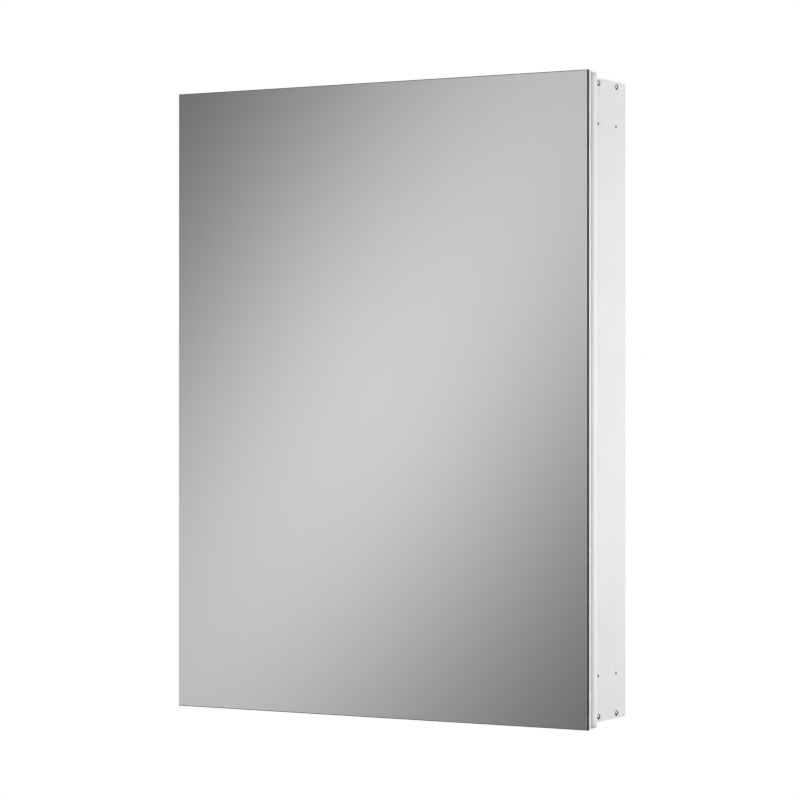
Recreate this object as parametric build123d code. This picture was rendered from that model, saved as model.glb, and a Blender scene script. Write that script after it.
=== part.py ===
from build123d import *
import os

# Single-door mirror cabinet for a bathroom wall, in millimetres.
# The origin is the centre of the case's back face, on the wall.
# +X is to the right for someone facing the mirror, +Y points into the wall and +Z is up.
# The door hangs on a continuous hinge along its left edge.

# Overall door and case
door_width = 492.0
door_height = 660.0
case_inset = 5.3            # the case stands this far inside the glass, all round
case_depth = 71.3
door_gap = 2.0              # from the case's front to the door's back

# Door layers, front to back
glass_thickness = 3.2
glass_arris = 0.8
backing_thickness = 4.5
backing_inset = 0.2         # inside the edge of the glass
frame_depth = 16.3
frame_inset = 0.4           # the crown of the frame lies this far inside the glass

# Door frame section
frame_width = 16.0
frame_crown = 1.0           # height of the crowned outer face
frame_back_radius = 1.2
frame_corner_radius = 3.0   # of the frame's four corners, seen from the front
frame_wall = 2.0
frame_web = 1.5
frame_rebate_width = 5.0    # ledge that carries the inner panel
key_arm_length = 42.0
key_clearance = 0.15
inner_panel_thickness = 3.0
inner_panel_clearance = 0.2

# Case sides, extruded
side_wall = 1.8
side_corner_radius = 0.8
front_flange_width = 14.0
back_flange_width = 12.0
track_spacing = 22.0
track_centre_depth = 31.0   # behind the case's front
track_width = 10.0
track_height = 5.0
track_wall = 1.2
track_slot = 4.0

# Case top and bottom, double-skinned extrusions with screw ports
deck_height = 10.5
deck_wall = 1.5
port_outer_radius = 3.3
port_web = 1.2
notch_clearance = 0.2

# Case back and the steel rails that carry the wall screws
back_thickness = 2.0
back_clearance = 0.2
rail_height = 26.0
rail_thickness = 1.5
rail_end_clearance = 0.3
rail_corner_radius = 3.0
wall_hole_radius = 2.75
wall_hole_side = 37.5       # from the sides of the case
wall_hole_end = 44.7        # from the top and bottom of the case

# Corner screws through the sides into the screw ports
corner_screw_front = 9.4    # behind the case's front
corner_screw_spacing = 41.2
corner_head_radius = 3.0
corner_head_height = 1.6
corner_shank_radius = 1.8
corner_shank_length = 18.0
screw_clearance = 0.05

# Fixing holes through the sides, for a wall recess
side_hole_front = 8.5       # behind the case's front
side_hole_spacing_y = 41.0
side_hole_end = 46.1        # from the top and bottom of the case
side_hole_radius = 1.5

# Small countersunk screws
csk_head_radius = 2.2
csk_head_height = 1.0
csk_shank_radius = 1.2
csk_length = 6.0
back_screws_per_side = 5
back_screws_per_deck = 3
back_screw_end = 22.0       # from the top and bottom of the case
back_deck_screw_side = 50.8 # from the sides of the case

# Shelves and the clips that slide in the tracks
shelf_thickness = 5.0
shelf_depth = 54.0
shelf_corner_radius = 4.0
shelf_edge_chamfer = 0.5
shelf_end_clearance = 0.3
clip_height = 9.0
clip_width = 9.0
clip_reach = 8.0            # past the face of the track
clip_fit = 0.2
clip_corner_radius = 3.0
clip_stop_height = 4.0
clip_stop_thickness = 0.9
clip_head_thickness = 2.4
clip_screw_radius = 1.5
clip_screw_head_radius = 2.7
clip_screw_head_height = 2.0

# Continuous hinge
leaf_thickness = 0.8
leaf_width = 12.0           # from the case's outer face inwards
barrel_clearance = 0.3      # from the barrel to the door's back
barrel_side_clearance = 0.7 # from the barrel to the case's outer face
pin_radius = 1.15
pin_clearance = 0.05
pin_chamfer = 0.3
hinge_end = 12.0            # from the top and bottom of the case
knuckle_count = 21
knuckle_gap = 0.3
leaf_screw_count = 9
leaf_screw_end = 55.0       # from the ends of the hinge
case_screw_inset = 7.0      # from the case's outer face
door_screw_inset = 8.1      # from the crown of the door frame

# Magnetic catches behind the right front flange, and their strikes on the door
catch_end = 89.7            # from the top and bottom of the case
catch_width = 10.4
catch_body_depth = 12.5
catch_body_height = 54.0
catch_corner_radius = 1.7
catch_inset = 7.8           # from the case's outer face
magnet_thickness = 4.0
magnet_height = 32.0
magnet_depth = 9.0
pole_thickness = 1.2
pole_depth = 11.5
pole_gap = 0.3              # from the poles to the strike
catch_clearance = 0.2
catch_screw_spread = 22.0
strike_width = 15.0
strike_height = 42.0
strike_thickness = 0.9
strike_corner_radius = 2.5
strike_screw_spread = 14.0

# Soft bumpers at the closing side
bumper_radius = 4.0
bumper_gap = 0.3            # from the bumper to the door's back
bumper_end = 26.0           # from the top and bottom of the case

# Outlines and planes that follow from the sizes above
case_width = door_width - 2 * case_inset
case_height = door_height - 2 * case_inset
half_case_width = case_width / 2
half_case_height = case_height / 2
side_inner = half_case_width - side_wall
case_front = -case_depth
door_back = case_front - door_gap
frame_front = door_back - frame_depth
backing_front = frame_front - backing_thickness
glass_front = backing_front - glass_thickness
frame_half_width = door_width / 2 - frame_inset
frame_half_height = door_height / 2 - frame_inset
track_face = side_inner - track_height
track_depths = [
    case_front + track_centre_depth - track_spacing / 2,
    case_front + track_centre_depth + track_spacing / 2,
]
corner_screw_depths = [
    case_front + corner_screw_front,
    case_front + corner_screw_front + corner_screw_spacing,
]
side_hole_depths = [
    case_front + side_hole_front,
    case_front + side_hole_front + side_hole_spacing_y,
]
wall_hole_x = half_case_width - wall_hole_side
wall_hole_z = half_case_height - wall_hole_end
deck_inner = half_case_height - deck_height
port_centre = half_case_height - deck_height / 2
port_radius = corner_shank_radius + screw_clearance
barrel_bore = pin_radius + pin_clearance
barrel_radius = barrel_bore + leaf_thickness
pin_x = -(half_case_width + barrel_side_clearance + barrel_radius)
pin_y = door_back + barrel_clearance + barrel_radius
half_hinge = half_case_height - hinge_end
shelf_names = ["upper", "middle", "lower"]
bay_height = (2 * deck_inner - len(shelf_names) * shelf_thickness) / (len(shelf_names) + 1)


# Common shapes

def block(x_low, x_high, y_low, y_high, z_low, z_high):
    """A box between two corners, given in any order."""
    size = Box(abs(x_high - x_low), abs(y_high - y_low), abs(z_high - z_low))
    return Pos((x_low + x_high) / 2, (y_low + y_high) / 2, (z_low + z_high) / 2) * size


def strip(x_low, x_high, y_low, y_high):
    """A flat rectangle between two corners, given in any order."""
    size = Rectangle(abs(x_high - x_low), abs(y_high - y_low))
    return Pos((x_low + x_high) / 2, (y_low + y_high) / 2) * size


def spread(count, half_length):
    """Evenly spaced places from minus half_length to plus half_length."""
    step = 2 * half_length / (count - 1)
    return [step * place - half_length for place in range(count)]


def countersunk_screw(clearance=0.0):
    """A countersunk screw whose flat head lies at the origin, pointing along -Z.

    A clearance makes the hole that the screw goes through.
    """
    head = csk_head_radius + clearance
    shank = csk_shank_radius + clearance
    outline = Polyline(
        (0, 0),
        (head, 0),
        (shank, -csk_head_height),
        (shank, -csk_length - clearance),
        (0, -csk_length - clearance),
        close=True,
    )
    return revolve(make_face(Plane.XZ * outline), Axis.Z)


def facing_front(x, y, z):
    """Place something that points along -Z so that it points along +Y."""
    return Pos(x, y, z) * Rot(90, 0, 0)


def facing_back(x, y, z):
    """Place something that points along -Z so that it points along -Y."""
    return Pos(x, y, z) * Rot(-90, 0, 0)


def cut_all(solid, tools):
    """Take each tool out of a solid."""
    for tool in tools:
        solid = solid - tool
    return solid


# Screw places that more than one piece shares

case_leaf_screws = [
    facing_front(-half_case_width + case_screw_inset, case_front - leaf_thickness, z)
    for z in spread(leaf_screw_count, half_hinge - leaf_screw_end)
]
door_leaf_screws = [
    facing_back(-frame_half_width + door_screw_inset, door_back + leaf_thickness, z)
    for z in spread(leaf_screw_count, half_hinge - leaf_screw_end)
]
back_flange_middle = side_inner - (back_flange_width - side_wall) / 2
back_side_screws = [
    facing_back(side * back_flange_middle, 0, z)
    for side in (-1, 1)
    for z in spread(back_screws_per_side, half_case_height - back_screw_end)
]
back_deck_screws = [
    facing_back(x, 0, level * port_centre)
    for level in (-1, 1)
    for x in spread(back_screws_per_deck, half_case_width - back_deck_screw_side)
]
catch_x = half_case_width - catch_inset
catch_height = half_case_height - catch_end
catch_levels = {"upper": catch_height, "lower": -catch_height}
catch_screws = [
    facing_front(catch_x, case_front, level + side * catch_screw_spread)
    for level in catch_levels.values()
    for side in (-1, 1)
]
strike_screws = [
    facing_back(frame_half_width - door_screw_inset, door_back + strike_thickness,
                level + side * strike_screw_spread)
    for level in catch_levels.values()
    for side in (-1, 1)
]
screw_hole = countersunk_screw(screw_clearance)


# Case

def track_section(depth):
    """One undercut track on the inside of the right side panel."""
    rib = strip(track_face, side_inner, depth - track_width / 2, depth + track_width / 2)
    hollow_half = track_width / 2 - track_wall
    hollow = strip(track_face + track_wall, side_inner, depth - hollow_half, depth + hollow_half)
    slot = strip(track_face, side_inner, depth - track_slot / 2, depth + track_slot / 2)
    return rib - hollow - slot


def side_panel():
    """The right side panel: wall, front and back flanges and two shelf tracks.

    The back flange and the tracks are milled away where the top and bottom panels fit.
    """
    wall = strip(side_inner, half_case_width, case_front, 0)
    corner = wall.vertices().group_by(Axis.Y)[0].sort_by(Axis.X)[-1]
    section = fillet(corner, side_corner_radius)
    section += strip(half_case_width - front_flange_width, side_inner,
                     case_front, case_front + side_wall)
    panel = extrude(section, half_case_height, both=True)
    inside = strip(side_inner - back_flange_width + side_wall, side_inner,
                   -back_thickness - side_wall, -back_thickness)
    for depth in track_depths:
        inside += track_section(depth)
    panel += extrude(inside, deck_inner, both=True)
    for level in (-1, 1):
        for depth in corner_screw_depths:
            panel -= side_bore(port_radius, depth, level * port_centre)
        for depth in side_hole_depths:
            panel -= side_bore(side_hole_radius, depth, level * (half_case_height - side_hole_end))
    return panel


def side_bore(radius, depth, height):
    """A hole through the wall of the right side panel."""
    bore = Cylinder(radius, 2 * side_wall)
    return Pos(side_inner + side_wall / 2, depth, height) * Rot(0, 90, 0) * bore


def catch_openings():
    """The windows in the right front flange that the magnets look through."""
    half_width = magnet_thickness / 2 + pole_thickness + catch_clearance
    half_height = magnet_height / 2 + catch_clearance
    return [
        block(catch_x - half_width, catch_x + half_width,
              case_front, case_front + side_wall,
              level - half_height, level + half_height)
        for level in catch_levels.values()
    ]


def deck_panel():
    """The top panel: two skins, closed front and back, and a screw port at each screw."""
    back = -back_thickness
    section = strip(case_front, back, deck_inner, half_case_height)
    section -= strip(case_front + deck_wall, back - deck_wall,
                     deck_inner + deck_wall, half_case_height - deck_wall)
    for depth in corner_screw_depths:
        section += strip(depth - port_web / 2, depth + port_web / 2,
                         deck_inner + deck_wall, half_case_height - deck_wall)
        section += Pos(depth, port_centre) * Circle(port_outer_radius)
        section -= Pos(depth, port_centre) * Circle(port_radius)
    panel = extrude(Plane.YZ * section, side_inner, both=True)
    for side in (-1, 1):
        flange_edge = side * (half_case_width - front_flange_width - notch_clearance)
        panel -= block(flange_edge, side * side_inner,
                       case_front, case_front + side_wall + notch_clearance,
                       deck_inner, half_case_height)
    return panel


def back_panel():
    """The sheet back, let in between the sides and flush with their back edges."""
    half_width = side_inner - back_clearance
    sheet = block(-half_width, half_width, -back_thickness, 0, -half_case_height, half_case_height)
    sheet = cut_all(sheet, [place * screw_hole for place in back_side_screws + back_deck_screws])
    return cut_all(sheet, wall_holes())


def wall_holes():
    """The four holes for the wall screws, through the back and the rails."""
    depth = 2 * (back_thickness + rail_thickness)
    hole = Rot(90, 0, 0) * Cylinder(wall_hole_radius, 2 * depth)
    return [
        Pos(side * wall_hole_x, 0, level * wall_hole_z) * hole
        for side in (-1, 1)
        for level in (-1, 1)
    ]


def fixing_rail(level):
    """A steel strip inside the back that spreads the load of two wall screws."""
    half_length = side_inner - back_flange_width + side_wall - rail_end_clearance
    middle = level * wall_hole_z
    strip_solid = block(-half_length, half_length,
                        -back_thickness - rail_thickness, -back_thickness,
                        middle - rail_height / 2, middle + rail_height / 2)
    ends = strip_solid.edges().filter_by(Axis.Y)
    strip_solid = fillet(ends, rail_corner_radius)
    return cut_all(strip_solid, wall_holes())


def corner_screw():
    """A domed screw whose head sits on the plane X = 0 and whose shank runs along -X."""
    dome = (corner_head_radius ** 2 + corner_head_height ** 2) / (2 * corner_head_height)
    head = Pos(0, 0, corner_head_height - dome) * Sphere(dome)
    head &= Pos(0, 0, corner_head_height) * Cylinder(2 * dome, 2 * corner_head_height)
    shank = Cylinder(corner_shank_radius, corner_shank_length,
                     align=(Align.CENTER, Align.CENTER, Align.MAX))
    return Rot(0, 90, 0) * (head + shank)


def corner_screws():
    """Two screws at each corner of the case, through the sides."""
    screw = corner_screw()
    screws = []
    for level in (-1, 1):
        for depth in corner_screw_depths:
            placed = Pos(half_case_width, depth, level * port_centre) * screw
            screws += [placed, mirror(placed, Plane.YZ)]
    return screws


# Shelves

def shelf_level(place):
    """Height of a shelf's underside; place 0 is the uppermost."""
    return deck_inner - (place + 1) * (bay_height + shelf_thickness)


def glass_shelf(place):
    """A glass shelf with rounded corners and eased edges."""
    half_length = track_face - clip_stop_thickness - clip_fit - shelf_end_clearance
    middle = case_front + track_centre_depth
    low = shelf_level(place)
    shelf = block(-half_length, half_length, middle - shelf_depth / 2, middle + shelf_depth / 2,
                  low, low + shelf_thickness)
    shelf = fillet(shelf.edges().filter_by(Axis.Z), shelf_corner_radius)
    rims = shelf.faces().filter_by(Axis.Z).edges()
    return chamfer(rims, shelf_edge_chamfer)


def clip_pieces(depth, low):
    """A clip and its clamping screw, at one track of the right side panel."""
    face = track_face - clip_fit
    tip = face - clip_reach
    half_width = clip_width / 2
    body = block(tip, face, depth - half_width, depth + half_width, low - clip_height, low)
    body = fillet(body.edges().filter_by(Axis.Y).group_by(Axis.Z)[0].sort_by(Axis.X)[0],
                  clip_corner_radius)
    body += block(face - clip_stop_thickness, face, depth - half_width, depth + half_width,
                  low, low + clip_stop_height)
    slot_half = track_slot / 2 - clip_fit
    body += block(face, side_inner - clip_fit, depth - slot_half, depth + slot_half,
                  low - clip_height, low)
    head_half = track_width / 2 - track_wall - clip_fit
    head_face = track_face + track_wall + clip_fit
    body += block(head_face, min(head_face + clip_head_thickness, side_inner - clip_fit),
                  depth - head_half, depth + head_half, low - clip_height, low)
    screw_line = Pos(0, depth, low - clip_height / 2) * Rot(0, 90, 0)
    bore_radius = clip_screw_radius + screw_clearance
    head_radius = clip_screw_head_radius + screw_clearance
    body -= screw_line * Pos(0, 0, tip) * along(bore_radius, side_inner - tip)
    body -= screw_line * Pos(0, 0, tip) * along(head_radius, clip_screw_head_height)
    screw = screw_line * Pos(0, 0, tip) * along(clip_screw_head_radius, clip_screw_head_height)
    screw += screw_line * Pos(0, 0, tip) * along(clip_screw_radius, side_inner - tip)
    return body, screw


def along(radius, length):
    """A cylinder that starts at the origin and runs along +Z."""
    return Cylinder(radius, length, align=(Align.CENTER, Align.CENTER, Align.MIN))


def shelf_clips(place):
    """The four clips and four screws that carry one shelf."""
    clips = []
    screws = []
    for depth in track_depths:
        clip, screw = clip_pieces(depth, shelf_level(place))
        clips += [clip, mirror(clip, Plane.YZ)]
        screws += [screw, mirror(screw, Plane.YZ)]
    return clips, screws


# Continuous hinge

def knuckle_spans(first):
    """The height spans of every second knuckle, from the first given."""
    pitch = 2 * half_hinge / knuckle_count
    return [
        (-half_hinge + place * pitch + knuckle_gap / 2,
         -half_hinge + (place + 1) * pitch - knuckle_gap / 2)
        for place in range(first, knuckle_count, 2)
    ]


def hinge_leaf(plate_low, plate_high, first):
    """A leaf between two depths, curled into knuckles round the pin."""
    inner_edge = -half_case_width + leaf_width
    plate_edge = pin_x + barrel_radius + barrel_side_clearance
    leaf = block(plate_edge, inner_edge, plate_low, plate_high, -half_hinge, half_hinge)
    for low, high in knuckle_spans(first):
        middle = Pos(pin_x, pin_y, (low + high) / 2)
        leaf += middle * Cylinder(barrel_radius, high - low)
        leaf += block(pin_x, plate_edge, plate_low, plate_high, low, high)
    return leaf - Pos(pin_x, pin_y, 0) * Cylinder(barrel_bore, 2 * case_height)


def hinge_leaf_case():
    """The leaf on the case's left front flange."""
    leaf = hinge_leaf(case_front - leaf_thickness, case_front, 0)
    return cut_all(leaf, [place * screw_hole for place in case_leaf_screws])


def hinge_leaf_door():
    """The leaf on the back of the door's hinge stile."""
    leaf = hinge_leaf(door_back, door_back + leaf_thickness, 1)
    return cut_all(leaf, [place * screw_hole for place in door_leaf_screws])


def hinge_pin():
    """The wire that runs through all the knuckles."""
    pin = Cylinder(pin_radius, 2 * half_hinge)
    return Pos(pin_x, pin_y, 0) * chamfer(pin.edges(), pin_chamfer)


# Catches

def catch_body(level):
    """A moulded housing with a pocket for the magnet and its two poles."""
    back = case_front + side_wall
    body = block(catch_x - catch_width / 2, catch_x + catch_width / 2,
                 back, back + catch_body_depth,
                 level - catch_body_height / 2, level + catch_body_height / 2)
    rear = body.faces().sort_by(Axis.Y)[-1]
    body = fillet(rear.edges(), catch_corner_radius)
    half_width = magnet_thickness / 2 + pole_thickness + catch_clearance
    half_height = magnet_height / 2 + catch_clearance
    body -= block(catch_x - half_width, catch_x + half_width,
                  back, door_back + strike_thickness + pole_gap + pole_depth,
                  level - half_height, level + half_height)
    return cut_all(body, [place * screw_hole for place in catch_screws])


def catch_magnet(level):
    """The block magnet between the poles, seated on the floor of its pocket."""
    floor = door_back + strike_thickness + pole_gap + pole_depth
    return block(catch_x - magnet_thickness / 2, catch_x + magnet_thickness / 2,
                 floor - magnet_depth, floor,
                 level - magnet_height / 2, level + magnet_height / 2)


def catch_poles(level):
    """The two steel poles that stand past the magnet, towards the strike."""
    tip = door_back + strike_thickness + pole_gap
    poles = []
    for side in (-1, 1):
        near = catch_x + side * magnet_thickness / 2
        far = near + side * pole_thickness
        poles.append(block(near, far, tip, tip + pole_depth,
                           level - magnet_height / 2, level + magnet_height / 2))
    return poles


def strike_plate(level):
    """The steel plate on the door's back that the poles pull on."""
    plate = block(catch_x - strike_width / 2, catch_x + strike_width / 2,
                  door_back, door_back + strike_thickness,
                  level - strike_height / 2, level + strike_height / 2)
    plate = fillet(plate.edges().filter_by(Axis.Y), strike_corner_radius)
    return cut_all(plate, [place * screw_hole for place in strike_screws])


def door_bumpers():
    """Two soft domes on the right front flange, for the closing door."""
    height = door_gap - bumper_gap
    dome = (bumper_radius ** 2 + height ** 2) / (2 * height)
    cap = Pos(0, 0, height - dome) * Sphere(dome)
    cap &= Pos(0, 0, height) * Cylinder(2 * dome, 2 * height)
    bumper = Rot(90, 0, 0) * cap
    return [
        Pos(catch_x, case_front, level * (half_case_height - bumper_end)) * bumper
        for level in (-1, 1)
    ]


# Door

def mirror_glass():
    """The mirror, the full size of the door, with a fine arris round its front."""
    half_width = door_width / 2
    half_height = door_height / 2
    glass = block(-half_width, half_width, glass_front, backing_front, -half_height, half_height)
    return chamfer(glass.faces().sort_by(Axis.Y)[0].edges(), glass_arris)


def door_backing():
    """The stiff white panel that the mirror is bonded to."""
    half_width = door_width / 2 - backing_inset
    half_height = door_height / 2 - backing_inset
    return block(-half_width, half_width, backing_front, frame_front, -half_height, half_height)


def frame_section():
    """Section of the door frame: a crowned hollow with a rebate for the inner panel.

    The crown touches X = 0 and the section runs to minus the frame's width; Y is real depth.
    """
    ledge = door_back - inner_panel_thickness
    rebate = -frame_width + frame_rebate_width
    crown = ThreePointArc(
        (-frame_crown, frame_front),
        (0, (frame_front + door_back) / 2),
        (-frame_crown, door_back),
    )
    rest = Polyline(
        (-frame_crown, door_back),
        (rebate, door_back),
        (rebate, ledge),
        (-frame_width, ledge),
        (-frame_width, frame_front),
        (-frame_crown, frame_front),
    )
    outline = make_face([crown, rest])
    back_corner = outline.vertices().group_by(Axis.Y)[-1].sort_by(Axis.X)[-1]
    outline = fillet(back_corner, frame_back_radius)
    cavity_outer = -frame_crown - frame_wall
    outline -= strip(-frame_width + frame_web, cavity_outer,
                     frame_front + frame_web, ledge - frame_web)
    outline -= strip(rebate + frame_web, cavity_outer,
                     ledge - frame_web, door_back - frame_web)
    return outline


def frame_member(half_length):
    """A length of the frame along Z, crown towards +X at X = 0, mitred at both ends.

    Its ends are trimmed to the rounded corners of the frame.
    """
    member = extrude(frame_section(), half_length, both=True)
    reach = frame_width + frame_web
    outer = half_length + frame_web
    inner = half_length - reach
    mitre = Polyline(
        (frame_web, outer),
        (-reach, inner),
        (-reach, -inner),
        (frame_web, -outer),
        close=True,
    )
    face = make_face(mitre)
    for end in (-1, 1):
        arc_start = end * (half_length - frame_corner_radius)
        corner = strip(-frame_corner_radius, frame_web, arc_start, end * outer)
        face -= corner - Pos(-frame_corner_radius, arc_start) * Circle(frame_corner_radius)
    middle = (frame_front + door_back) / 2
    return member & (Pos(0, middle, 0) * extrude(Plane.XZ * face, frame_depth, both=True))


def door_stile(side):
    """An upright of the door frame; side -1 is the hinge side."""
    stile = Pos(frame_half_width, 0, 0) * frame_member(frame_half_height)
    if side < 0:
        stile = mirror(stile, Plane.YZ)
    return cut_all(stile, [place * screw_hole for place in door_leaf_screws + strike_screws])


def door_rail(level):
    """A cross member of the door frame; level -1 is the bottom."""
    rail = Pos(0, 0, frame_half_height) * Rot(0, -90, 0) * frame_member(frame_half_width)
    if level < 0:
        rail = mirror(rail, Plane.XY)
    return rail


def corner_keys():
    """The four angle blocks that join the mitred corners inside the frame."""
    outer = frame_crown + frame_wall + key_clearance
    inner = frame_width - frame_web - key_clearance
    front = frame_front + frame_web + key_clearance
    back = door_back - inner_panel_thickness - frame_web - key_clearance
    far = outer + key_arm_length
    key = block(frame_half_width - far, frame_half_width - outer, front, back,
                frame_half_height - inner, frame_half_height - outer)
    key += block(frame_half_width - inner, frame_half_width - outer, front, back,
                 frame_half_height - far, frame_half_height - outer)
    right = [key, mirror(key, Plane.XY)]
    return right + [mirror(piece, Plane.YZ) for piece in right]


def door_inner_panel():
    """The white panel that closes the back of the door, seated in the frame's rebate."""
    border = frame_width - frame_rebate_width + inner_panel_clearance
    half_width = frame_half_width - border
    half_height = frame_half_height - border
    return block(-half_width, half_width, door_back - inner_panel_thickness, door_back,
                 -half_height, half_height)


# All the pieces by name

def build_pieces():
    """Every piece of the cabinet, one entry to a node."""
    screw = countersunk_screw()
    right_side = side_panel()
    top = deck_panel()
    pieces = {
        "side_panel_right": cut_all(
            right_side,
            catch_openings() + [place * screw_hole for place in catch_screws + back_side_screws]),
        "side_panel_left": cut_all(
            mirror(right_side, Plane.YZ),
            [place * screw_hole for place in case_leaf_screws + back_side_screws]),
        "top_panel": cut_all(top, [place * screw_hole for place in back_deck_screws]),
        "bottom_panel": cut_all(mirror(top, Plane.XY),
                                [place * screw_hole for place in back_deck_screws]),
        "back_panel": back_panel(),
        "fixing_rail_upper": fixing_rail(1),
        "fixing_rail_lower": fixing_rail(-1),
        "corner_screws": corner_screws(),
        "back_screws": [place * screw for place in back_side_screws + back_deck_screws],
        "hinge_leaf_case": hinge_leaf_case(),
        "hinge_leaf_door": hinge_leaf_door(),
        "hinge_pin": hinge_pin(),
        "hinge_screws_case": [place * screw for place in case_leaf_screws],
        "hinge_screws_door": [place * screw for place in door_leaf_screws],
        "catch_screws": [place * screw for place in catch_screws],
        "strike_screws": [place * screw for place in strike_screws],
        "door_bumpers": door_bumpers(),
        "mirror_glass": mirror_glass(),
        "door_backing": door_backing(),
        "door_stile_hinge": door_stile(-1),
        "door_stile_latch": door_stile(1),
        "door_rail_top": door_rail(1),
        "door_rail_bottom": door_rail(-1),
        "door_corner_keys": corner_keys(),
        "door_inner_panel": door_inner_panel(),
    }
    for place, name in enumerate(shelf_names):
        clips, screws = shelf_clips(place)
        pieces["shelf_" + name] = glass_shelf(place)
        pieces["shelf_clips_" + name] = clips
        pieces["clip_screws_" + name] = screws
    for name, level in catch_levels.items():
        pieces["catch_body_" + name] = catch_body(level)
        pieces["catch_magnet_" + name] = catch_magnet(level)
        pieces["catch_poles_" + name] = catch_poles(level)
        pieces["strike_plate_" + name] = strike_plate(level)
    return pieces


os.makedirs("parts", exist_ok=True)
for node, shape in build_pieces().items():
    if isinstance(shape, list):
        shape = Compound(children=shape)
    shape.label = node
    export_step(shape, "parts/" + node + ".step")
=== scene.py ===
"""Dresses the mirror cabinet: finishes for its panels, glass and metal, and detailed screws."""

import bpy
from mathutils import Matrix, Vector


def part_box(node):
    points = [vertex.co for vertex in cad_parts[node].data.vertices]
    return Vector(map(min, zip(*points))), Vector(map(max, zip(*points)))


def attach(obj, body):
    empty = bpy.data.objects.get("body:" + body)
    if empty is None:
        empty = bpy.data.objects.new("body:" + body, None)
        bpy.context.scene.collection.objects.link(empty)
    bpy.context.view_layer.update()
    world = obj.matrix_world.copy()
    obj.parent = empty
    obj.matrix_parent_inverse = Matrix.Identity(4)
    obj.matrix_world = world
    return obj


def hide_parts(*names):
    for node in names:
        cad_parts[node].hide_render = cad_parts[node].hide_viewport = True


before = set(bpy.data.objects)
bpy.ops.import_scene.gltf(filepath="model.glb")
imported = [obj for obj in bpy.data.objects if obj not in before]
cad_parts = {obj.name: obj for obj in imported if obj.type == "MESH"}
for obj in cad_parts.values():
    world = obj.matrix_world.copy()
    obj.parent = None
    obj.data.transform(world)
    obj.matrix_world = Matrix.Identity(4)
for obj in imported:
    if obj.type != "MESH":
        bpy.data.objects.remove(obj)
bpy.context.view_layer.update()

import logging
import math
from dataclasses import dataclass
from enum import Enum

import bpy
from mathutils import Matrix, Vector

log = logging.getLogger("mirror_cabinet")

MILLIMETRE = 0.001
SMALL_HEAD_RADIUS = 0.0022

Socket = bpy.types.NodeSocket
Material = bpy.types.Material
Colour = tuple[float, float, float]
Point = tuple[float, float, float]
Range = tuple[float, float]

# Patterns: patches and grain per metre, and the part of a noise that is spread over its range.
CLOUD_SCALE = 14.0
CLOUD_DETAIL = 3.0
CLOUD_RANGE: Range = (0.35, 0.65)
GRAIN_RANGE: Range = (0.3, 0.7)
GRAIN_TO_PEEL = 0.2

# How far a pattern lowers and raises the roughness of each kind of finish.
COAT_SWING: Range = (0.04, 0.05)
METAL_SWING: Range = (0.06, 0.08)
MOULDED_SWING: Range = (0.06, 0.06)

# A screw's thread, as shares of its pitch and of its radius.
RUN_IN = 0.15
ROOT_LENGTH = 0.4
FLANK_LENGTH = 0.25
CREST_LENGTH = 0.1
POINT_LENGTH = 0.85
POINT_RADIUS = 0.35

# The rim of a countersunk head, in millimetres, and how far a recess narrows, as a share.
SUNK_RIM_HEIGHT = 0.1
RECESS_TAPER = 0.55

# Faces count as level, and edges as smooth, up to these.
LEVEL_NORMAL = 0.99
SMOOTH_ANGLE = math.radians(32)


class Body(Enum):
    """The two bodies that the pieces ride on."""

    CABINET = "cabinet"
    DOOR = "door"


class HeadStyle(Enum):
    """The shapes of screw head on the cabinet."""

    DOMED = "domed"
    COUNTERSUNK = "countersunk"
    CHEESE = "cheese"


# Node trees


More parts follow.
